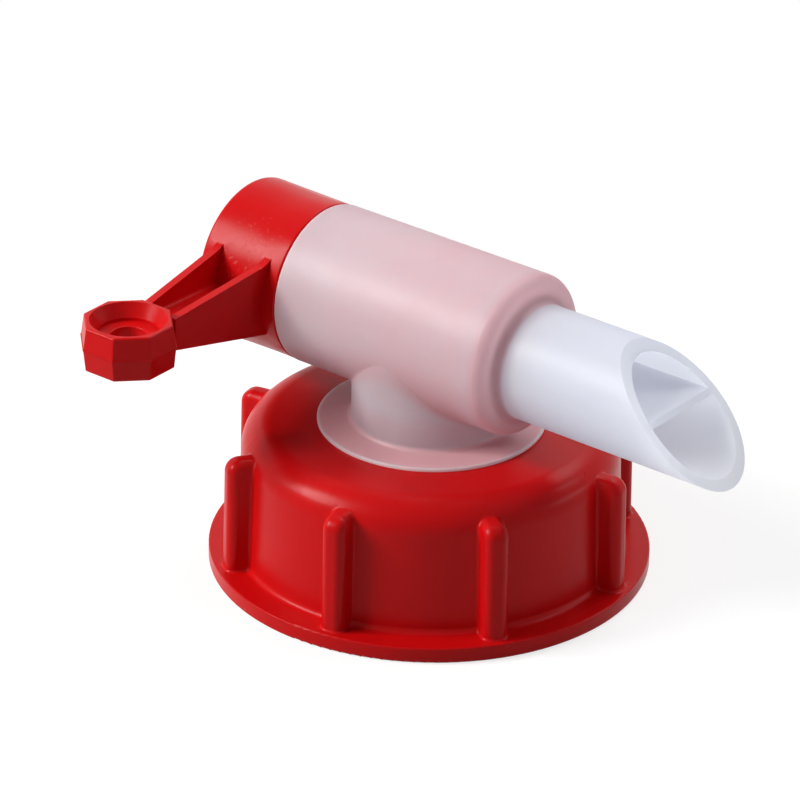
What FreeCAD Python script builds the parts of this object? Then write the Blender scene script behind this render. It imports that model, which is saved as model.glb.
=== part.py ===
import FreeCAD, Part
import math
import os

# A quarter-turn tap for the screw neck of a liquid container. A ribbed screw cap carries a swivelling
# tap body: a short neck, a cross barrel and a long spout, all one moulding. A hollow ported plug with a
# lever and an octagonal knob turns in the barrel. Walls inside the neck, the plug and the spout part
# the liquid from the air that replaces it. All lengths are in millimetres and all angles in degrees.
# The origin is the centre of the cap's open rim, +Z runs up the cap's axis and +X along the spout.

V = FreeCAD.Vector

# Screw cap
thread_radius = 30.7
thread_depth = 20.9
cap_wall = 3.7
cap_wall_draft = 0.8
cap_height = 27.9
cap_top_thickness = 2.5
cap_shoulder = 6.0
cap_foot_fillet = 1.2
seat_step = 0.8
flange_overhang = 5.3
flange_thickness = 3.0
flange_edge = 0.5

# Grip ribs of the screw cap
rib_count = 8
rib_first_angle = 11.2
rib_thickness = 4.6
rib_depth = 4.4
rib_draft = 0.35
rib_drop = 2.75
rib_crown = 2.6
rib_nose = 1.8
rib_root_fillet = 0.6

# Cross barrel of the tap body, held up above the cap by the neck
neck_rise = 4.7
barrel_radius = 15.0
barrel_wall = 2.4
barrel_back = 24.93
barrel_front = 22.0
barrel_end_wall = 3.0
barrel_shoulder = 2.0
barrel_back_edge = 0.5

# Spout of the tap body, a little below the barrel's axis and cut off at a slant
spout_drop = 0.5
spout_radius = 10.7
spout_wall = 1.75
spout_top_length = 21.6
spout_bottom_length = 44.4
spout_root_fillet = 1.6
mouth_bulge = 0.7
septum_thickness = 0.85
septum_rise = 0.6

# Neck of the tap body, with the disc that lies on the cap
neck_step = 0.4
neck_wall = 2.6
neck_septum = 1.6
neck_fillet = 1.0
saddle_fillet = 1.2
disc_overhang = 6.2
disc_rim = 0.55
disc_rise = 0.2
disc_edge = 0.2

# Two ports side by side, through the barrel's wall and through the plug's
port_length = 8.0
port_width = 12.0
port_gap = 3.2
port_corner = 1.6

# Spigot below the disc, which the clip ring snaps on
spigot_step = 0.7
spigot_clearance = 0.1
swivel_gap = 0.1
clip_bead = 0.6
clip_bead_height = 0.4
clip_lead_in = 1.7

# Clip ring and gasket under the cap's top
ring_thickness = 2.0
ring_bore_clearance = 0.05
ring_rim_clearance = 0.8
gasket_thickness = 2.1
gasket_width = 7.6
gasket_rim_clearance = 0.4
gasket_bore_clearance = 0.1
collar_width = 1.5
collar_height = 1.4
ring_edge = 0.3

# Ported plug
plug_clearance = 0.05
plug_end_gap = 0.3
plug_wall = 2.15
plug_septum = 1.4
plug_rear_wall = 2.4
plug_chamber_gap = 0.8
snap_bead = 0.35
snap_bead_width = 1.3
snap_bead_edge = 0.2
snap_clearance = 0.07
snap_place = 7.5

# Stop lug of the plug, in its arc at the back of the barrel
turn_angle = 90.0
lug_height = 1.05
lug_length = 2.3
lug_angle = 20.0
lug_clearance = 0.1
lug_end_clearance = 0.6

# Hub at the back of the plug
hub_gap = 0.12
hub_length = 17.7
hub_inset = 0.1
hub_draft = 0.25
hub_front_edge = 0.3
hub_back_edge = 0.8
hub_wall = 2.6
hub_recess_depth = 13.8
hub_recess_fillet = 1.0

# Lever: two webs that close in towards the knob, joined by a floor
lever_middle = 8.85
lever_root_width = 12.2
lever_tip_width = 8.6
web_thickness = 1.55
floor_thickness = 2.0
lever_root_top = 7.7
lever_root_bottom = 6.5
lever_tip_top = 4.85
lever_tip_bottom = 1.35
floor_root_rise = 0.25
floor_tip_rise = 2.15
web_ear = 4.7
web_ear_lean = 0.21
web_ear_fillet = 5.7
pocket_fillet = 0.7

# Octagonal knob with a dished face on each side and an eye through it
knob_reach = 44.35
knob_rise = 2.25
knob_radius = 8.95
knob_top_radius = 8.35
knob_bottom_radius = 8.5
knob_half_height = 4.25
knob_edge = 0.45
parting_land = 0.1
parting_height = 0.22
dish_radius = 7.0
dish_depth = 2.5
dish_edge = 0.3
dish_step_radius = 5.5
dish_step = 0.5
eye_radius = 3.1
eye_edge = 0.25

# Sizes that follow from those above
wall_radius = thread_radius + cap_wall
foot_radius = wall_radius + cap_wall_draft
flange_radius = foot_radius + flange_overhang
cap_underside = cap_height - cap_top_thickness
seat_radius = thread_radius - seat_step
rib_top = cap_height - rib_drop
axis_height = cap_height + neck_rise + barrel_radius
barrel_bore = barrel_radius - barrel_wall
bore_end = barrel_front - barrel_end_wall
spout_bore = spout_radius - spout_wall
spout_axis = axis_height - spout_drop
spout_landing = barrel_radius - barrel_shoulder - spout_drop - spout_radius
neck_radius = barrel_radius - neck_step
neck_bore = neck_radius - neck_wall
disc_radius = neck_radius + disc_overhang
disc_underside = cap_height + swivel_gap
disc_top = disc_underside + disc_rim
spigot_radius = neck_radius - spigot_step
cap_hole_radius = spigot_radius + spigot_clearance
ring_top = cap_underside - swivel_gap
ring_underside = ring_top - ring_thickness
spigot_end = ring_underside - clip_bead_height - clip_lead_in
gasket_outer = seat_radius - gasket_rim_clearance
gasket_inner = gasket_outer - gasket_width
plug_radius = barrel_bore - plug_clearance
plug_front = bore_end - plug_end_gap
plug_bore = plug_radius - plug_wall
port_far = port_gap / 2 + port_length
plug_chamber_back = port_far + plug_chamber_gap
hub_front = -barrel_back - hub_gap
hub_back = hub_front - hub_length
hub_radius = barrel_radius - hub_inset
snap_x = snap_place - barrel_back
lever_x = hub_front - lever_middle
knob_z = axis_height + knob_rise
knob_flat = knob_radius * math.cos(math.pi / 8)


def rounded_face(corners, place):
    """Flat face of straight runs; a corner (u, v, r) is rounded to r, less where its runs are short."""
    rounds = []
    count = len(corners)
    for index in range(count):
        u, v = corners[index][:2]
        back = V(*corners[index - 1][:2], 0) - V(u, v, 0)
        ahead = V(*corners[(index + 1) % count][:2], 0) - V(u, v, 0)
        radius = corners[index][2] if len(corners[index]) > 2 else 0.0
        half = back.getAngle(ahead) / 2
        reach = min(radius / math.tan(half), 0.49 * back.Length, 0.49 * ahead.Length)
        radius = reach * math.tan(half)
        back.normalize()
        ahead.normalize()
        corner = V(u, v, 0)
        start = corner + back * reach
        stop = corner + ahead * reach
        if radius > 0:
            middle = (back + ahead).normalize() * (radius / math.sin(half) - radius)
            arc = Part.Arc(place(start), place(corner + middle), place(stop))
            rounds.append((start, stop, [arc.toShape()]))
        else:
            rounds.append((corner, corner, []))
    edges = []
    for index in range(count):
        start, stop, arc = rounds[index]
        following = rounds[(index + 1) % count][0]
        edges += arc + [Part.makeLine(place(stop), place(following))]
    return Part.Face(Part.Wire(edges))


def in_xz(point):
    """A point of an outline drawn in the plane y = 0."""
    return V(point.x, 0, point.y)


def about_z(corners):
    """Solid turned about the cap's axis from an outline of radius and height."""
    return rounded_face(corners, in_xz).revolve(V(0, 0, 0), V(0, 0, 1), 360)


def about_barrel(corners):
    """Solid turned about the barrel's axis from an outline of place along X and radius."""
    outline = rounded_face(corners, lambda point: V(point.x, 0, axis_height + point.y))
    return outline.revolve(V(0, 0, axis_height), V(1, 0, 0), 360)


def cylinder_x(radius, start, stop, height=axis_height):
    """Round bar along X from x = start to x = stop, on the barrel's axis or at another height."""
    return Part.makeCylinder(radius, stop - start, V(start, 0, height), V(1, 0, 0))


def block(low, high):
    """Box between two opposite corners."""
    return Part.makeBox(high[0] - low[0], high[1] - low[1], high[2] - low[2], V(*low))


def seam(joined, one, other):
    """Edges of a joined solid that lie on the skins of both shapes that it was joined from."""
    skins = (Part.Compound(one.Faces), Part.Compound(other.Faces))
    edges = []
    for edge in joined.Edges:
        if edge.Length < 0.01:
            continue
        spots = [Part.Vertex(point) for point in edge.discretize(5)]
        if all(spot.distToShape(skin)[0] < 1e-4 for skin in skins for spot in spots):
            edges.append(edge)
    return edges


def port(start, low, high):
    """Cutter for one port, from z = low to z = high, with rounded corners seen along Z."""
    half = port_width / 2
    cutter = block((start, -half, low), (start + port_length, half, high))
    upright = [edge for edge in cutter.Edges if abs(edge.tangentAt(edge.FirstParameter).z) > 0.9]
    return cutter.makeFillet(min(port_corner, 0.4 * port_length, 0.4 * port_width), upright)


def grip_rib():
    """One rib along +X: a bar with a round crown and nose, rooted inside the cap's wall."""
    root = wall_radius - 0.45 * cap_wall
    outer = wall_radius + rib_depth
    foot = 0.5 * flange_thickness
    half = rib_thickness / 2
    side = rounded_face([
        (root, foot),
        (outer + rib_draft, foot),
        (outer, rib_top, rib_crown),
        (root, rib_top),
    ], in_xz)
    side.translate(V(0, -half, 0))
    bar = side.extrude(V(0, rib_thickness, 0))
    nose = min(rib_nose, 0.45 * rib_thickness, 0.45 * rib_depth)
    rounded = []
    for edge in bar.Edges:
        middle = edge.CenterOfMass
        on_side = abs(middle.y) > half - 1e-6
        if on_side and middle.x > root + 1e-6 and middle.z > foot + 1e-6:
            rounded.append(edge)
    return bar.makeFillet(nose, rounded)


def screw_cap():
    """Threaded cap with a foot flange, a domed shoulder, grip ribs and a hole for the spigot."""
    shell = about_z([
        (thread_radius, 0),
        (flange_radius, 0, flange_edge),
        (flange_radius, flange_thickness, 0.5 * flange_edge),
        (foot_radius, flange_thickness, cap_foot_fillet),
        (wall_radius, cap_height, cap_shoulder),
        (cap_hole_radius, cap_height),
        (cap_hole_radius, cap_underside),
        (seat_radius, cap_underside),
        (seat_radius, thread_depth),
        (thread_radius, thread_depth),
    ])
    rib = grip_rib()
    ribs = []
    for index in range(rib_count):
        copy = rib.copy()
        copy.rotate(V(0, 0, 0), V(0, 0, 1), rib_first_angle + 360.0 * index / rib_count)
        ribs.append(copy)
    joined = shell.fuse(ribs)
    return joined.makeFillet(rib_root_fillet, seam(joined, shell, Part.Compound(ribs)))


def mouth_cutter():
    """Everything in front of the spout's slanting, slightly bowed mouth."""
    top = V(barrel_front + spout_top_length, 0, spout_axis + spout_radius)
    bottom = V(barrel_front + spout_bottom_length, 0, spout_axis - spout_radius)
    middle = (top + bottom) * 0.5
    along = (bottom - top).normalize()
    outward = V(-along.z, 0, along.x)
    stretch = 1.3
    sag = outward * (mouth_bulge * (1 - stretch ** 2))
    start = middle + (top - middle) * stretch + sag
    stop = middle + (bottom - middle) * stretch + sag
    crest = middle + outward * mouth_bulge
    far = stop.x + 10
    arc = Part.Arc(start, crest, stop).toShape()
    over = Part.makeLine(start, V(far, 0, start.z))
    down = Part.makeLine(V(far, 0, start.z), V(far, 0, stop.z))
    under = Part.makeLine(V(far, 0, stop.z), stop)
    outline = Part.Face(Part.Wire([arc, under, down, over]))
    outline.translate(V(0, -2 * spout_radius, 0))
    return outline.extrude(V(0, 4 * spout_radius, 0))


def arc_block(inner, outer, start, stop, middle_angle, spread):
    """Part of a ring about the barrel's axis; angles turn from +Y towards +Z."""
    section = Part.Face(Part.makePolygon([
        V(start, inner, axis_height), V(stop, inner, axis_height),
        V(stop, outer, axis_height), V(start, outer, axis_height), V(start, inner, axis_height)]))
    section.rotate(V(0, 0, axis_height), V(1, 0, 0), middle_angle - spread / 2)
    return section.revolve(V(0, 0, axis_height), V(1, 0, 0), spread)


def tap_body():
    """Neck with its disc and spigot, barrel and spout in one moulding, with parted ways inside."""
    neck = about_z([
        (0, spigot_end),
        (spigot_radius - 0.5, spigot_end),
        (spigot_radius + clip_bead, ring_underside - clip_bead_height),
        (spigot_radius + clip_bead, ring_underside),
        (spigot_radius, ring_underside),
        (spigot_radius, disc_underside),
        (disc_radius, disc_underside),
        (disc_radius, disc_top, disc_edge),
        (neck_radius, disc_top + disc_rise, neck_fillet),
        (neck_radius, axis_height),
        (0, axis_height),
    ])
    barrel = about_barrel([
        (-barrel_back, 0),
        (-barrel_back, barrel_radius, barrel_back_edge),
        (barrel_front, barrel_radius, barrel_shoulder),
        (barrel_front, 0),
    ])
    front = barrel_front + spout_bottom_length + 5
    spout = cylinder_x(spout_radius, bore_end, front, spout_axis)
    joined = neck.fuse([barrel, spout])
    rounded = joined.makeFillet(saddle_fillet, seam(joined, neck, barrel))
    root_fillet = min(spout_root_fillet, 0.9 * spout_landing)
    body = rounded.makeFillet(root_fillet, seam(rounded, barrel, spout))
    plug_seat = cylinder_x(barrel_bore, -barrel_back - 1, bore_end)
    neck_way = Part.makeCylinder(neck_bore, axis_height - spigot_end + 1, V(0, 0, spigot_end - 1))
    neck_way = neck_way.cut(cylinder_x(barrel_radius, -2 * neck_bore, 2 * neck_bore))
    half = neck_septum / 2
    neck_wall_plate = block((-half, -neck_radius, spigot_end - 2), (half, neck_radius, axis_height))
    neck_way = neck_way.cut(neck_wall_plate)
    spout_way = cylinder_x(spout_bore, bore_end - 1, front + 1, spout_axis)
    septum = axis_height + septum_rise
    half = septum_thickness / 2
    spout_way = spout_way.cut(block(
        (bore_end, -spout_radius, septum - half), (front + 2, spout_radius, septum + half)))
    ports = [port(start, axis_height - barrel_radius - 1, axis_height - 0.5 * barrel_bore)
             for start in (-port_far, port_gap / 2)]
    groove = about_barrel([
        (snap_x - snap_bead_width / 2 - snap_clearance - snap_bead, barrel_bore - 0.5),
        (snap_x - snap_bead_width / 2 - snap_clearance, barrel_bore + snap_bead),
        (snap_x + snap_bead_width / 2 + snap_clearance, barrel_bore + snap_bead),
        (snap_x + snap_bead_width / 2 + snap_clearance + snap_bead, barrel_bore - 0.5),
    ])
    stop_arc = arc_block(
        barrel_bore - 0.5, plug_radius + lug_height + lug_clearance,
        -barrel_back - 1, -barrel_back + lug_length + lug_clearance - hub_gap,
        0, turn_angle + lug_angle + 2 * lug_end_clearance)
    cutters = [plug_seat, neck_way, spout_way, groove, stop_arc, mouth_cutter()] + ports
    return body.cut(cutters).removeSplitter()


def clip_ring():
    """Ring that snaps over the spigot's bead and holds the body to the cap, with a gasket collar."""
    collar_outer = gasket_inner - gasket_bore_clearance
    return about_z([
        (spigot_radius + ring_bore_clearance, ring_underside),
        (collar_outer - collar_width, ring_underside),
        (collar_outer - collar_width, ring_underside - collar_height, ring_edge),
        (collar_outer, ring_underside - collar_height, ring_edge),
        (collar_outer, ring_underside),
        (seat_radius - ring_rim_clearance, ring_underside),
        (seat_radius - ring_rim_clearance, ring_top, ring_edge),
        (spigot_radius + ring_bore_clearance, ring_top),
    ])


def neck_gasket():
    """Flat ring that seals against the mouth of the container's neck."""
    return about_z([
        (gasket_inner, ring_underside - gasket_thickness),
        (gasket_outer, ring_underside - gasket_thickness, ring_edge),
        (gasket_outer, ring_underside, ring_edge),
        (gasket_inner, ring_underside),
    ])


def ported_plug():
    """Thin-walled plug with two ports, and a bent wall that leads each to its own half of the spout."""
    plug = cylinder_x(plug_radius, hub_front - 1, plug_front)
    bead = about_barrel([
        (snap_x - snap_bead_width / 2 - snap_bead, plug_radius - 0.5),
        (snap_x - snap_bead_width / 2, plug_radius + snap_bead, snap_bead_edge),
        (snap_x + snap_bead_width / 2, plug_radius + snap_bead, snap_bead_edge),
        (snap_x + snap_bead_width / 2 + snap_bead, plug_radius - 0.5),
    ])
    lug = arc_block(
        plug_radius - 0.5, plug_radius + lug_height, hub_front - 1, hub_front + lug_length,
        turn_angle / 2, lug_angle)
    return plug.fuse([bead, lug])


def plug_ways():
    """Cutters for the plug's two ways: each a half of its bore, with a port in the +Y side."""
    half = plug_septum / 2
    front = plug_front + 1
    reach = 2 * plug_radius
    bore = cylinder_x(plug_bore, -plug_chamber_back, front)
    low = axis_height - reach
    high = axis_height + reach
    air_way = bore.common(block((-plug_chamber_back, -reach, low), (front, -half, high)))
    liquid_way = bore.common(block((half, half, low), (front, reach, high)))
    cutters = [air_way, liquid_way]
    for start, depth in ((-port_far, -half - 0.5), (port_gap / 2, half)):
        cutter = port(start, depth, plug_radius + 1)
        cutter.rotate(V(0, 0, 0), V(1, 0, 0), -90)
        cutter.translate(V(0, 0, axis_height))
        cutters.append(cutter)
    return cutters


def lever():
    """Two webs and a floor between hub and knob, hollow from above and from below."""
    root_y = -hub_radius
    inner_y = -0.5 * hub_radius
    tip_y = -knob_reach + knob_flat - 0.5
    rise = axis_height
    hub_angle = math.asin(min(0.95, lever_root_top / hub_radius))
    corner_y = -hub_radius * math.cos(hub_angle)
    ear = V(math.sin(hub_angle) + web_ear_lean, math.cos(hub_angle), 0).normalize() * web_ear
    side = rounded_face([
        (tip_y, rise + lever_tip_top),
        (corner_y, rise + lever_root_top, web_ear_fillet),
        (corner_y + ear.x, rise + lever_root_top + ear.y),
        (inner_y, rise + lever_root_top),
        (inner_y, rise - lever_root_bottom),
        (corner_y, rise - lever_root_bottom),
        (tip_y, rise - lever_tip_bottom),
    ], lambda point: V(0, point.x, point.y))
    width = lever_root_width + 4
    side.translate(V(lever_x - width / 2, 0, 0))
    envelope = side.extrude(V(width, 0, 0)).common(taper(0, root_y, tip_y))
    half = floor_thickness / 2
    pockets = []
    for sign in (1, -1):
        far = rise + sign * 30
        floor = Part.Face(Part.makePolygon([
            V(0, inner_y + 1, rise + sign * half),
            V(0, root_y, rise + floor_root_rise + sign * half),
            V(0, tip_y, rise + floor_tip_rise + sign * half),
            V(0, tip_y, far), V(0, inner_y + 1, far),
            V(0, inner_y + 1, rise + sign * half)]))
        floor.translate(V(lever_x - width / 2, 0, 0))
        pocket = floor.extrude(V(width, 0, 0)).common(taper(web_thickness, root_y, tip_y))
        pockets.append(round_pocket(pocket))
    return envelope.cut(pockets)


def taper(inset, root_y, tip_y):
    """Upright prism between the outer faces of the two webs, moved in by inset on both sides."""
    slope = (lever_root_width - lever_tip_width) / 2 / (root_y - tip_y)
    near = root_y + 10
    far = tip_y - 1
    corners = []
    for y, sign in ((near, -1), (near, 1), (far, 1), (far, -1)):
        half = lever_root_width / 2 + (y - root_y) * slope - inset
        corners.append(V(lever_x + sign * half, y, axis_height - 40))
    corners.append(corners[0])
    return Part.Face(Part.makePolygon(corners)).extrude(V(0, 0, 80))


def round_pocket(pocket):
    """The pocket's cutter with its two long floor edges rounded."""
    long_edges = []
    for edge in pocket.Edges:
        along = edge.tangentAt(edge.FirstParameter)
        near_floor = abs(edge.CenterOfMass.z - axis_height) < 0.5 * barrel_radius
        if abs(along.y) > 0.9 and near_floor and abs(edge.CenterOfMass.x - lever_x) > 1:
            long_edges.append(edge)
    return pocket.makeFillet(pocket_fillet, long_edges)


def octagon(radius, height):
    """Octagon about the knob's middle with flats facing X and Y."""
    points = []
    for index in range(9):
        angle = math.radians(22.5 + 45 * index)
        points.append(V(lever_x + radius * math.cos(angle), -knob_reach + radius * math.sin(angle), height))
    return Part.makePolygon(points)


def knob():
    """Octagonal knob with softened edges, and a thin land where it is widest, at its parting line."""
    middle = octagon(knob_radius, knob_z)
    upper = Part.makeLoft([middle, octagon(knob_top_radius, knob_z + knob_half_height)], True, True)
    lower = Part.makeLoft([octagon(knob_bottom_radius, knob_z - knob_half_height), middle], True, True)
    solid = upper.fuse(lower)
    rounded = solid.makeFillet(knob_edge, [
        edge for edge in solid.Edges if abs(edge.CenterOfMass.z - knob_z) > 1e-6])
    outline = Part.Face(octagon(knob_radius + parting_land, knob_z - parting_height / 2))
    land = outline.extrude(V(0, 0, parting_height))
    return rounded.fuse(land)


def knob_hollow():
    """Cutter for the knob's two dished faces, each with a small step, and for the eye between them."""
    step_level = knob_half_height - dish_depth
    floor = step_level - dish_step
    above = [
        (dish_radius, knob_half_height + 1),
        (dish_radius, knob_half_height),
        (dish_step_radius, step_level, dish_edge),
        (dish_step_radius, floor),
        (eye_radius, floor, eye_edge),
    ]
    below = [(corner[0], -corner[1], *corner[2:]) for corner in reversed(above)]
    ends = knob_half_height + 1
    hollow = about_z([(0, ends)] + above + below + [(0, -ends)])
    hollow.translate(V(lever_x, -knob_reach, knob_z))
    return hollow


def plug_handle():
    """Plug, hub, lever and knob in one moulding."""
    hub = about_barrel([
        (hub_front, 0),
        (hub_front, hub_radius, hub_front_edge),
        (hub_back, hub_radius + hub_draft, hub_back_edge),
        (hub_back, 0),
    ])
    recess_floor = hub_back + hub_recess_depth
    rear_wall_back = -plug_chamber_back - plug_rear_wall
    recess = about_barrel([
        (hub_back - 1, 0),
        (hub_back - 1, hub_radius - hub_wall),
        (recess_floor, hub_radius - hub_wall, hub_recess_fillet),
        (recess_floor, plug_bore),
        (rear_wall_back, plug_bore, hub_recess_fillet),
        (rear_wall_back, 0),
    ])
    handle = hub.fuse([ported_plug(), lever(), knob()])
    return handle.cut([recess, knob_hollow()] + plug_ways()).removeSplitter()


NODES = {
    "screw_cap": screw_cap,
    "tap_body": tap_body,
    "clip_ring": clip_ring,
    "neck_gasket": neck_gasket,
    "plug_handle": plug_handle,
}

os.makedirs("parts", exist_ok=True)
for name, make in NODES.items():
    shape = make()
    if shape.Volume < 0:
        shape.reverse()
    shape.exportStep("parts/" + name + ".step")
    print(name, len(shape.Solids), "solid", round(shape.Volume, 1), "mm3", shape.isValid())
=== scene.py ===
import bpy
import math
from mathutils import Matrix, Vector


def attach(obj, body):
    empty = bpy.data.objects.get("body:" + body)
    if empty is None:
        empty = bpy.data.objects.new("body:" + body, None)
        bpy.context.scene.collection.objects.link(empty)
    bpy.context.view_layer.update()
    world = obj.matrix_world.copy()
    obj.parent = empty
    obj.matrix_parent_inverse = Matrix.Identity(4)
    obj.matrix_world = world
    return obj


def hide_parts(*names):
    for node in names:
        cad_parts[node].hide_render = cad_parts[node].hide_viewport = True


# A quarter-turn pouring tap on a ribbed screw cap. The sections follow the tap as it is put together on the
# bench: the screw cap with its thread, the gasket, the tap body with its clip ring, and the plug with its
# lever. Lengths are in metres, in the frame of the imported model: +Z up the cap's axis, +X along the spout.
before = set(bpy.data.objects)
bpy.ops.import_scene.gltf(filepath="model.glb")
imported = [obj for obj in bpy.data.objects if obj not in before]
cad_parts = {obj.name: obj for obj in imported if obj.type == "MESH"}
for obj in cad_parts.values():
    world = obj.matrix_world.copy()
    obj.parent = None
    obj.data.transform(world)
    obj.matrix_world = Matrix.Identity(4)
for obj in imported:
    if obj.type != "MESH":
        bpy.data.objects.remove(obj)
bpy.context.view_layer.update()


# Screw cap. One injection moulding in red high-density polyethylene: a wall with eight grip ribs on a flat
# foot flange, and a domed shoulder. The mould leaves a fine grain, and handling leaves fine scuffs on the
# shoulder and small nicks along the foot.
mm = 0.001
foot_nicks = (0.6 * mm, 2.2 * mm)
cap_scuffs = [
    ((-6 * mm, -33 * mm, 25.5 * mm), 11 * mm, 0.45 * mm, 0.35),
    ((30 * mm, -8 * mm, 27 * mm), 9 * mm, 0.4 * mm, 0.2),
    ((8 * mm, -30 * mm, 28 * mm), 7 * mm, 0.35 * mm, 0.15),
]
deep_red = (0.53, 0.0028, 0.0040, 1)
full_red = (0.58, 0.0038, 0.0052, 1)
rubbed_red = (0.72, 0.12, 0.11, 1)
rubbed_share = 0.40
red_grain = (0.35 * mm, 5 * mm)
red_relief = (0.22, 0.03 * mm)
red_roughness, wave_roughness, rubbed_roughness = 0.25, 0.10, 0.12
rubbed_depth = 3.0
red_shine = 0.11
nick_size = 1.3 * mm
nick_fade = 0.4 * mm
nick_limits = (0.74, 0.80)
seam_gap = 0.001 * mm
sharp_corner = math.radians(32)


def add(tree, kind, settings, inputs):
    """A node with its settings; an input is a value, or an output socket that it is linked to."""
    made = tree.nodes.new(kind)
    for name, value in settings.items():
        setattr(made, name, value)
    for name, value in inputs.items():
        if isinstance(value, bpy.types.NodeSocket):
            tree.links.new(value, made.inputs[name])
        else:
            made.inputs[name].default_value = value
    return made


def maths(tree, operation, *values):
    """One Math node on one, two or three values."""
    return add(tree, "ShaderNodeMath", {"operation": operation}, dict(enumerate(values))).outputs[0]


def row(tree, operation, first, *others):
    """The same operation on a row of values, one after the other."""
    for other in others:
        first = maths(tree, operation, first, other)
    return first


def ramp(tree, value, start, stop):
    """Mask that rises smoothly from 0 at start to 1 at stop, or falls where stop is lower."""
    settings = {"interpolation_type": "SMOOTHSTEP"}
    low, high = (start, stop) if start < stop else (stop, start)
    ends = {"To Min": 0.0, "To Max": 1.0} if start < stop else {"To Min": 1.0, "To Max": 0.0}
    inputs = {"Value": value, "From Min": low, "From Max": high, **ends}
    return add(tree, "ShaderNodeMapRange", settings, inputs).outputs["Result"]


def mix(tree, factor, first, second):
    """Colour between two colours."""
    inputs = {"Factor": factor, 6: first, 7: second}
    return add(tree, "ShaderNodeMix", {"data_type": "RGBA"}, inputs).outputs[2]


def object_place(tree):
    return add(tree, "ShaderNodeTexCoord", {}, {}).outputs["Object"]


def noise(tree, size, detail):
    """Noise on the object, with features of about this size in metres."""
    scale = maths(tree, "DIVIDE", 1.0, size)
    inputs = {"Vector": object_place(tree), "Scale": scale, "Detail": detail}
    return add(tree, "ShaderNodeTexNoise", {}, inputs).outputs["Fac"]


def new_group(name, inputs, outputs):
    """Empty node group with named sockets; inputs maps each name to its kind and standard value."""
    tree = bpy.data.node_groups.new(name, "ShaderNodeTree")
    for label, (kind, value) in inputs.items():
        socket = tree.interface.new_socket(name=label, in_out="INPUT", socket_type="NodeSocket" + kind)
        socket.default_value = value
    for label, kind in outputs.items():
        tree.interface.new_socket(name=label, in_out="OUTPUT", socket_type="NodeSocket" + kind)
    return tree, tree.nodes.new("NodeGroupInput").outputs, tree.nodes.new("NodeGroupOutput").inputs


def moulded_grain():
    """Fine grain and slow waviness that a polished mould leaves on plastic."""
    wave_height = 2.5
    tree, given, out = new_group(
        "moulded_grain",
        {"Grain size": ("Float", 0.3 * mm), "Wave size": ("Float", 4 * mm)},
        {"Grain": "Float", "Waves": "Float", "Height": "Float"})
    grain = noise(tree, given["Grain size"], 3.0)
    waves = noise(tree, given["Wave size"], 2.0)
    tree.links.new(grain, out["Grain"])
    tree.links.new(waves, out["Waves"])
    tree.links.new(maths(tree, "ADD", grain, maths(tree, "MULTIPLY", waves, wave_height)), out["Height"])
    return tree


def scuff_patch():
    """Small rubbed specks that gather round one point and thin out with distance."""
    sparse_limit = 0.78
    dense_drop = 0.2
    speck_edge = 0.05
    full_within = 0.2
    tree, given, out = new_group(
        "scuff_patch",
        {"Centre": ("Vector", (0.0, 0.0, 0.0)), "Reach": ("Float", 6 * mm),
         "Speck size": ("Float", 0.5 * mm), "Density": ("Float", 0.5)},
        {"Mask": "Float"})
    ends = {0: object_place(tree), 1: given["Centre"]}
    away = add(tree, "ShaderNodeVectorMath", {"operation": "DISTANCE"}, ends).outputs["Value"]
    near = ramp(tree, maths(tree, "DIVIDE", away, given["Reach"]), 1.0, full_within)
    limit = maths(tree, "SUBTRACT", sparse_limit, maths(tree, "MULTIPLY", given["Density"], dense_drop))
    above = maths(tree, "SUBTRACT", noise(tree, given["Speck size"], 2.0), limit)
    tree.links.new(maths(tree, "MULTIPLY", ramp(tree, above, 0.0, speck_edge), near), out["Mask"])
    return tree


grain_group = moulded_grain()
scuff_group = scuff_patch()


def plain_material(name):
    material = bpy.data.materials.new(name)
    material.use_nodes = True
    return material, material.node_tree, material.node_tree.nodes["Principled BSDF"]


def grained(tree, grain_size, wave_size):
    """The grain group in a material, with its own sizes."""
    inputs = {"Grain size": grain_size, "Wave size": wave_size}
    return add(tree, "ShaderNodeGroup", {"node_tree": grain_group}, inputs).outputs


def dress(tree, shader, colour, roughness, relief, strength, depth):
    """Links a surface's colour, roughness and relief to its shader, and returns the normal."""
    inputs = {"Strength": strength, "Distance": depth, "Height": relief}
    normal = add(tree, "ShaderNodeBump", {}, inputs).outputs["Normal"]
    tree.links.new(colour, shader.inputs["Base Color"])
    tree.links.new(roughness, shader.inputs["Roughness"])
    tree.links.new(normal, shader.inputs["Normal"])
    return normal


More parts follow.
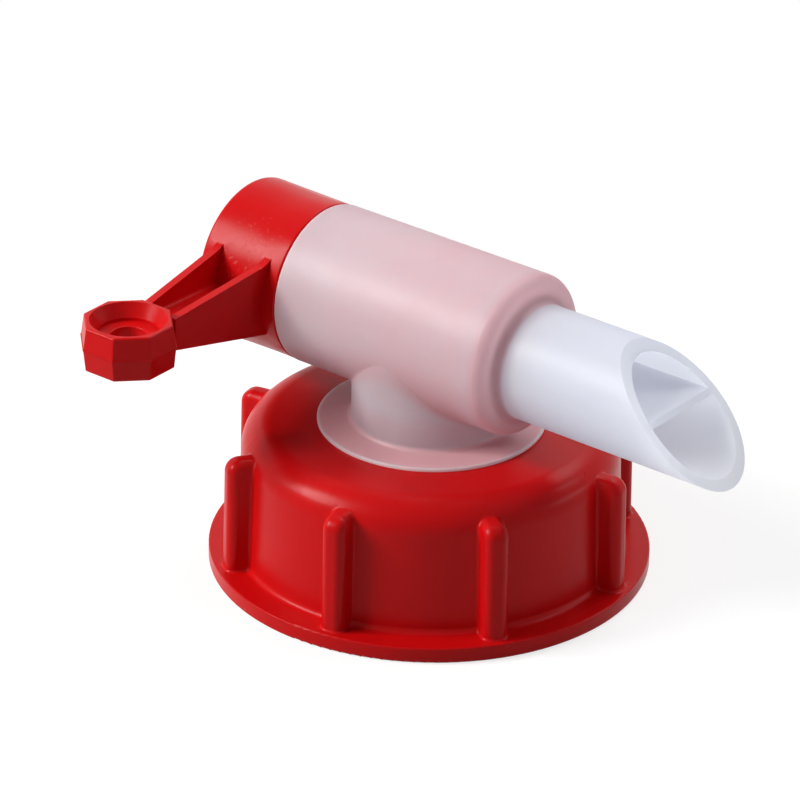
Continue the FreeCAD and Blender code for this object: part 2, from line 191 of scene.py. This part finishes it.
def red_plastic(name, scuffs, nick_band):
    """Semi-gloss red plastic; scuffs lists (centre, reach, speck size, density), nick_band is heights."""
    material, tree, shader = plain_material(name)
    grain = grained(tree, *red_grain)
    rubbed = 0.0
    for centre, reach, speck, density in scuffs:
        inputs = {"Centre": centre, "Reach": reach, "Speck size": speck, "Density": density}
        patch = add(tree, "ShaderNodeGroup", {"node_tree": scuff_group}, inputs)
        rubbed = maths(tree, "MAXIMUM", patch.outputs["Mask"], rubbed)
    height = add(tree, "ShaderNodeSeparateXYZ", {}, {0: object_place(tree)}).outputs["Z"]
    low, high = nick_band
    band = maths(tree, "MULTIPLY", ramp(tree, height, low - nick_fade, low),
                 ramp(tree, height, high + nick_fade, high))
    nicks = maths(tree, "MULTIPLY", band, ramp(tree, noise(tree, nick_size, 1.0), *nick_limits))
    marks = maths(tree, "MAXIMUM", rubbed, nicks)
    tone = mix(tree, grain["Waves"], deep_red, full_red)
    colour = mix(tree, maths(tree, "MULTIPLY", marks, rubbed_share), tone, rubbed_red)
    rough = maths(tree, "MULTIPLY_ADD", grain["Waves"], wave_roughness, red_roughness)
    rough = maths(tree, "ADD", rough, maths(tree, "MULTIPLY", marks, rubbed_roughness))
    relief = maths(tree, "SUBTRACT", grain["Height"], maths(tree, "MULTIPLY", marks, rubbed_depth))
    dress(tree, shader, colour, rough, relief, *red_relief)
    shader.inputs["Specular IOR Level"].default_value = red_shine
    return material


def only(item):
    """Selects this object alone and makes it the active one."""
    bpy.ops.object.select_all(action="DESELECT")
    item.select_set(True)
    bpy.context.view_layer.objects.active = item


def moulding(node, body, finish):
    """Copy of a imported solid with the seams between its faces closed, so that light runs over them evenly."""
    piece = bpy.data.objects.new(node + "_moulding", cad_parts[node].data.copy())
    piece.data.name = piece.name
    bpy.context.scene.collection.objects.link(piece)
    piece.data.materials.clear()
    piece.data.materials.append(finish)
    only(piece)
    bpy.ops.mesh.customdata_custom_splitnormals_clear()
    bpy.ops.object.mode_set(mode="EDIT")
    bpy.ops.mesh.select_all(action="SELECT")
    bpy.ops.mesh.remove_doubles(threshold=seam_gap)
    bpy.ops.object.mode_set(mode="OBJECT")
    bpy.ops.object.shade_smooth_by_angle(angle=sharp_corner)
    evened = piece.modifiers.new("evened", "WEIGHTED_NORMAL")
    evened.keep_sharp = True
    bpy.ops.object.modifier_apply(modifier="evened")
    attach(piece, body)
    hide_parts(node)


cap_red = red_plastic("cap_red_plastic", cap_scuffs, foot_nicks)
moulding("screw_cap", "cap", cap_red)


# Cap thread. The coarse ridge inside the cap, moulded in one with it and unscrewed from the core: a
# right-handed screw of 6 mm pitch with a sloping flank below and a steep one above.
thread_root = 30.8 * mm
thread_crest = 29.3 * mm
thread_pitch = 6 * mm
thread_turns = 2.35
thread_start = 3.4 * mm
ridge_root = 3.3 * mm
ridge_crest = 1.2 * mm
steep_flank = 0.55 * mm
ridge_rounding = 0.25 * mm
steps_per_turn = 120
run_out = math.radians(24)
ridge_corner = math.radians(40)
full_turn = 2 * math.pi
ridge_middle = (thread_root + thread_crest) / 2
ridge_height = thread_start + ridge_root / 2

bpy.ops.object.select_all(action="DESELECT")
bpy.ops.mesh.primitive_plane_add(
    size=1, rotation=(math.pi / 2, 0, 0), location=(ridge_middle, 0, ridge_height))
thread = bpy.context.active_object
thread.name = thread.data.name = "cap_thread"
thread.scale = (thread_root - thread_crest, ridge_root, 1)
bpy.ops.object.transform_apply(location=True, rotation=True, scale=True)
for corner in thread.data.vertices:
    if corner.co.x < ridge_middle:
        top = thread_start + ridge_root - steep_flank
        corner.co.z = top if corner.co.z > ridge_height else top - ridge_crest
bpy.ops.object.mode_set(mode="EDIT")
bpy.ops.mesh.select_all(action="SELECT")
bpy.ops.mesh.delete(type="ONLY_FACE")
bpy.ops.mesh.select_all(action="SELECT")
bpy.ops.mesh.bevel(offset=ridge_rounding, segments=2, affect="VERTICES")
bpy.ops.object.mode_set(mode="OBJECT")
turning = thread.modifiers.new("turning", "SCREW")
turning.axis = "Z"
turning.angle = full_turn * thread_turns
turning.screw_offset = thread_pitch * thread_turns
turning.steps = turning.render_steps = round(steps_per_turn * thread_turns)
turning.use_merge_vertices = False
only(thread)
bpy.ops.object.modifier_apply(modifier="turning")
# The ridge sinks into the wall at both ends, over the run-out angle.
for spot in thread.data.vertices:
    rise = spot.co.z - thread_start
    reach = math.hypot(spot.co.x, spot.co.y)
    angle = math.atan2(spot.co.y, spot.co.x) % full_turn
    turn = round((rise / thread_pitch * full_turn - math.pi / 2 - angle) / full_turn)
    along = angle + full_turn * max(turn, 0)
    ends = min(along, full_turn * thread_turns - along)
    share = min(max(ends / run_out, 0.0), 1.0)
    wanted = thread_root - (thread_root - reach) * math.sin(share * math.pi / 2)
    spot.co.x *= wanted / reach
    spot.co.y *= wanted / reach
bpy.ops.object.mode_set(mode="EDIT")
bpy.ops.mesh.select_all(action="SELECT")
bpy.ops.mesh.fill_holes(sides=0)
bpy.ops.mesh.select_all(action="SELECT")
bpy.ops.mesh.normals_make_consistent(inside=False)
bpy.ops.object.mode_set(mode="OBJECT")
bpy.ops.object.shade_smooth_by_angle(angle=ridge_corner)
thread.data.materials.append(cap_red)
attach(thread, "cap")


# Neck gasket. A flat ring punched from grey rubber sheet, which lies under the clip ring and seals on the
# mouth of the container. It is dull and slightly grainy all over.
dark_grey = (0.075, 0.076, 0.080, 1)
worn_grey = (0.125, 0.126, 0.130, 1)
rubber_grain = (0.25 * mm, 3 * mm)
rubber_relief = (0.4, 0.04 * mm)
rubber_roughness, rubber_wave_roughness = 0.6, 0.2


def gasket_rubber():
    material, tree, shader = plain_material("gasket_rubber")
    grain = grained(tree, *rubber_grain)
    colour = mix(tree, grain["Grain"], dark_grey, worn_grey)
    rough = maths(tree, "MULTIPLY_ADD", grain["Waves"], rubber_wave_roughness, rubber_roughness)
    dress(tree, shader, colour, rough, grain["Height"], *rubber_relief)
    return material


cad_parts["neck_gasket"].material_slots[0].material = gasket_rubber()


# Tap body and clip ring. Both are moulded in natural, unpigmented high-density polyethylene, which is milky
# and lets what lies behind it show through. That show-through is painted into the colour: pink where the plug
# fills the barrel and where the disc lies on the cap, bluish white along the empty spout. The red light from
# the cap is painted too, as a deeper pink low on the barrel and at the neck's foot, with painted shade in the
# groove at the barrel's front and painted highlights along the barrel's back rim and the disc's rim.
barrel_axis = 47.6 * mm
barrel_reach = 15.0 * mm
barrel_back = -25.0 * mm
barrel_front = 23.0 * mm
plug_end = 18.7 * mm
disc_reach = 20.8 * mm
disc_level = 28.9 * mm
neck_level = 33.5 * mm

# Where each stretch of the milky plastic starts and where its mask is full.
barrel_starts = (barrel_back - 0.4 * mm, barrel_back + 0.6 * mm)
barrel_stops = (barrel_front + 1.2 * mm, barrel_front - 0.4 * mm)
barrel_skin = (barrel_reach + 1.6 * mm, barrel_reach + 0.1 * mm)
barrel_groove = (barrel_front - 2.4 * mm, barrel_front - 0.6 * mm)
barrel_middle = (barrel_back + 4 * mm, plug_end - 12 * mm)
past_plug = (plug_end - 0.5 * mm, plug_end + 2 * mm)
barrel_underside = (barrel_axis, barrel_axis - 12 * mm)
back_rim_inside = (barrel_back + 0.75 * mm, barrel_back + 0.35 * mm)
back_rim_outside = (barrel_back - 1.2 * mm, barrel_back - 0.6 * mm)
disc_top = (disc_level + 0.9 * mm, disc_level)
disc_inside_rim = (disc_reach - 0.2 * mm, disc_reach - 0.9 * mm)
disc_rim = (disc_reach - 0.45 * mm, disc_reach - 0.1 * mm)
neck_foot = (neck_level + 3 * mm, neck_level - 1 * mm)

# How much of the painted pink each stretch takes, and the colours, relief and gloss of the plastic.
cloud_tint, clear_tint = 0.3, -0.04
# Painted show-through of the red plug: more towards the front and past the plug's end, where light runs on in
# the thick wall.
middle_tint = 0.16
past_plug_tint = 0.40
# Painted red light from the cap: the pink deepens towards the barrel's underside.
cap_bounce_tint = 0.30
disc_tint, disc_rim_tint = 0.95, 0.25
# Painted red glow at the neck's foot, for the light from the cap.
neck_glow_tint = 0.3
groove_shade_share = 0.6
highlight_share = 0.7
bluish_white = (0.85, 0.865, 0.905, 1)
pink = (0.90, 0.60, 0.64, 1)
# Painted shade in the groove at the barrel's front, round the root of the spout, with some painted pink
# show-through.
groove_shade = (0.66, 0.50, 0.53, 1)
# Painted highlight along the barrel's back rim and the disc's rim.
highlight_white = (0.95, 0.90, 0.91, 1)
milkiness, disc_milk_loss = 0.68, 0.25
milk_grain = (0.3 * mm, 7 * mm)
milk_relief = (0.12, 0.03 * mm)
milk_roughness, milk_wave_roughness = 0.40, 0.1
milk_shine = 0.7
skin_shine, skin_roughness = 0.35, 0.4


def from_line(tree, first, second):
    """Distance from a line, from the two lengths across it."""
    squares = [maths(tree, "MULTIPLY", side, side) for side in (first, second)]
    return maths(tree, "SQRT", maths(tree, "ADD", *squares))


def natural_plastic():
    material, tree, shader = plain_material("natural_plastic_milky")
    x, y, z = add(tree, "ShaderNodeSeparateXYZ", {}, {0: object_place(tree)}).outputs
    from_barrel = from_line(tree, y, maths(tree, "SUBTRACT", z, barrel_axis))
    from_neck = from_line(tree, x, y)
    grain = grained(tree, *milk_grain)

    def share(value, stretch, part):
        """Mask along one stretch, up to this part."""
        return maths(tree, "MULTIPLY", ramp(tree, value, *stretch), part)

    on_barrel = row(tree, "MULTIPLY", ramp(tree, x, *barrel_starts), ramp(tree, x, *barrel_stops),
                    ramp(tree, from_barrel, *barrel_skin), ramp(tree, z, disc_level, neck_level))
    on_disc = ramp(tree, z, *disc_top)
    cloud = maths(tree, "MULTIPLY_ADD", grain["Waves"], cloud_tint, clear_tint)
    # Painted pink where the red plug lies behind the wall, clouded, rising along the barrel and deeper past the
    # plug's end.
    barrel_tint = maths(tree, "MULTIPLY", on_barrel, row(
        tree, "ADD", cloud, share(x, barrel_middle, middle_tint), share(x, past_plug, past_plug_tint),
        share(z, barrel_underside, cap_bounce_tint)))
    # Painted pink on the disc where the red cap lies under it, less at its rim.
    disc_part = maths(tree, "ADD", share(from_neck, disc_inside_rim, disc_tint), disc_rim_tint)
    tint = row(tree, "MAXIMUM", barrel_tint, maths(tree, "MULTIPLY", on_disc, disc_part),
               share(z, neck_foot, neck_glow_tint))
    colour = mix(tree, tint, bluish_white, pink)
    # Painted shade in the groove at the barrel's front.
    shaded_groove = maths(tree, "MULTIPLY", on_barrel, share(x, barrel_groove, groove_shade_share))
    colour = mix(tree, shaded_groove, colour, groove_shade)
    # Painted highlights on the barrel's back rim and the disc's rim.
    back_rim_highlight = maths(tree, "MULTIPLY", ramp(tree, x, *back_rim_inside), ramp(tree, x, *back_rim_outside))
    disc_rim_highlight = maths(tree, "MULTIPLY", on_disc, ramp(tree, from_neck, *disc_rim))
    rim_highlights = maths(tree, "MULTIPLY", maths(tree, "MAXIMUM", back_rim_highlight, disc_rim_highlight), highlight_share)
    colour = mix(tree, rim_highlights, colour, highlight_white)
    rough = maths(tree, "MULTIPLY_ADD", grain["Waves"], milk_wave_roughness, milk_roughness)
    normal = dress(tree, shader, colour, rough, grain["Height"], *milk_relief)
    shader.inputs["Specular IOR Level"].default_value = milk_shine
    shader.inputs["Coat Weight"].default_value = skin_shine
    shader.inputs["Coat Roughness"].default_value = skin_roughness
    through = add(tree, "ShaderNodeBsdfTranslucent", {}, {"Color": colour, "Normal": normal})
    milk_share = maths(tree, "SUBTRACT", milkiness, maths(tree, "MULTIPLY", on_disc, disc_milk_loss))
    milk = add(tree, "ShaderNodeMixShader", {}, {0: milk_share, 1: shader.outputs[0], 2: through.outputs[0]})
    tree.links.new(milk.outputs[0], tree.nodes["Material Output"].inputs["Surface"])
    return material


milky = natural_plastic()
moulding("tap_body", "tap", milky)
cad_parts["clip_ring"].material_slots[0].material = milky


# Plug with hub, lever and knob. One moulding in the cap's red plastic. The mould opens along the lever's
# middle plane, and the hub shows rub marks where a hand turns it.
knob_parting = (49.8 * mm, 49.9 * mm)
handle_scuffs = [
    ((-33 * mm, -12.5 * mm, 56 * mm), 9 * mm, 0.7 * mm, 0.85),
    ((-30 * mm, -8 * mm, 60 * mm), 9 * mm, 0.6 * mm, 0.35),
]
handle_red = red_plastic("handle_red_plastic", handle_scuffs, knob_parting)
moulding("plug_handle", "plug", handle_red)


# Floor. A pale sheet that runs out to a white surround and keeps the tap's shadow. It is seen through from
# below, so that the cap's open side can be looked at.
floor_size = 6.0
floor_drop = 0.02 * mm
shadow_reach = 0.14
shadow_fade = 0.5
paper_glow = 0.72
thin_grey = (0.36, 0.36, 0.36, 1)
full_grey = (0.5, 0.5, 0.5, 1)
white = (1, 1, 1, 1)


def eye_and_mirrors(tree):
    """Mask of the rays that the camera, gloss and clear materials see by."""
    rays = add(tree, "ShaderNodeLightPath", {}, {}).outputs
    return row(tree, "MAXIMUM", rays["Is Camera Ray"], rays["Is Glossy Ray"], rays["Is Transmission Ray"])


def blend_shaders(tree, factor, first, second):
    return add(tree, "ShaderNodeMixShader", {}, {0: factor, 1: first, 2: second}).outputs[0]


bpy.ops.object.select_all(action="DESELECT")
bpy.ops.mesh.primitive_plane_add(size=floor_size, location=(0, 0, -floor_drop))
floor = bpy.context.active_object
floor.name = floor.data.name = "floor"
bpy.ops.object.transform_apply(location=True, rotation=True, scale=True)
paper = bpy.data.materials.new("floor_paper")
paper.use_nodes = True
tree = paper.node_tree
tree.nodes.clear()
from_middle = add(tree, "ShaderNodeVectorMath", {"operation": "LENGTH"}, {0: object_place(tree)})
open_floor = ramp(tree, from_middle.outputs["Value"], shadow_fade * shadow_reach, shadow_reach)
plain_white = add(tree, "ShaderNodeEmission", {}, {"Color": white, "Strength": 1.0}).outputs[0]
glow = add(tree, "ShaderNodeEmission", {}, {"Color": white, "Strength": paper_glow}).outputs[0]
thin_paper = add(tree, "ShaderNodeBsdfDiffuse", {}, {"Color": thin_grey}).outputs[0]
full_paper = add(tree, "ShaderNodeBsdfDiffuse", {}, {"Color": full_grey}).outputs[0]
near_look = add(tree, "ShaderNodeAddShader", {}, {0: glow, 1: thin_paper}).outputs[0]
look = blend_shaders(tree, open_floor, near_look, plain_white)
from_above = blend_shaders(tree, eye_and_mirrors(tree), full_paper, look)
seen_through = add(tree, "ShaderNodeBsdfTransparent", {}, {}).outputs[0]
underneath = add(tree, "ShaderNodeNewGeometry", {}, {}).outputs["Backfacing"]
sheet = blend_shaders(tree, underneath, from_above, seen_through)
add(tree, "ShaderNodeOutputMaterial", {}, {"Surface": sheet})
floor.data.materials.append(paper)


# Surround. Plain white to the eye and in reflections, and a weak even light on the tap.
fill_colour = (0.96, 0.98, 1.0, 1)
fill_strength = 0.15
world = bpy.data.worlds.new("surround")
bpy.context.scene.world = world
world.use_nodes = True
tree = world.node_tree
tree.nodes.clear()
fill = add(tree, "ShaderNodeBackground", {}, {"Color": fill_colour, "Strength": fill_strength}).outputs[0]
backdrop = add(tree, "ShaderNodeBackground", {}, {"Color": white, "Strength": 1.0}).outputs[0]
around = blend_shaders(tree, eye_and_mirrors(tree), fill, backdrop)
add(tree, "ShaderNodeOutputWorld", {}, {"Surface": around})


# Lamps. A soft lamp to the left of the camera gives the main light, with a small one beside it for the
# glints on edges and corners. One behind the tap lights what faces up, and two narrow ones behind on the
# right draw the thin streaks on the cap's shoulder.
lit_point = Vector((0, 0, 30 * mm))
warm_white = (1.0, 0.99, 0.97)
soft_white = (1.0, 0.99, 0.98)
cool_white = (0.93, 0.97, 1.0)
pure_white = (1.0, 1.0, 1.0)


def direction(azimuth, elevation):
    """Direction away from the tap, in radians; azimuth 0 is in front, at -Y, and a quarter turn is +X."""
    return Vector((math.sin(azimuth) * math.cos(elevation),
                   -math.cos(azimuth) * math.cos(elevation), math.sin(elevation)))


def soft_lamp(name, azimuth, elevation, distance, size, power, colour):
    """Rectangular lamp that faces the tap, with its angles in degrees."""
    away = direction(math.radians(azimuth), math.radians(elevation))
    light = bpy.data.lights.new(name, "AREA")
    light.shape = "RECTANGLE"
    light.size, light.size_y = size
    light.energy = power
    light.color = colour
    lamp = bpy.data.objects.new(name, light)
    bpy.context.scene.collection.objects.link(lamp)
    lamp.location = lit_point + away * distance
    lamp.rotation_euler = away.to_track_quat("Z", "Y").to_euler()


soft_lamp("main_lamp", azimuth=-43, elevation=36, distance=1.5, size=(0.6, 0.65), power=19.5,
          colour=warm_white)
soft_lamp("glint_lamp", azimuth=-52, elevation=33, distance=1.5, size=(0.11, 0.11), power=5.0,
          colour=warm_white)
soft_lamp("back_lamp", azimuth=-174, elevation=56, distance=1.5, size=(0.8, 0.8), power=9.0,
          colour=soft_white)
soft_lamp("shoulder_lamp", azimuth=143, elevation=42, distance=1.2, size=(0.16, 0.5), power=1.4,
          colour=cool_white)
soft_lamp("low_shoulder_lamp", azimuth=128, elevation=12, distance=1.2, size=(0.4, 0.10), power=1.0,
          colour=pure_white)


# Camera. It looks down on the tap from the front right, through a long lens.
aim = Vector((-4.96, -3.01, 31.30)) * mm
camera_azimuth = math.radians(38.104)
camera_elevation = math.radians(27.189)
camera_roll = math.radians(0.904)
camera_distance = 960.955 * mm
away = direction(camera_azimuth, camera_elevation)
lens = bpy.data.cameras.new("camera")
lens.sensor_width = 36
lens.lens = 238.43
lens.clip_start, lens.clip_end = 0.01, 20
camera = bpy.data.objects.new("camera", lens)
bpy.context.scene.collection.objects.link(camera)
upright = away.to_track_quat("Z", "Y").to_matrix()
camera.rotation_euler = (upright @ Matrix.Rotation(camera_roll, 3, "Z")).to_euler()
camera.location = aim + away * camera_distance
bpy.context.scene.camera = camera
bpy.context.scene.view_settings.view_transform = "Standard"
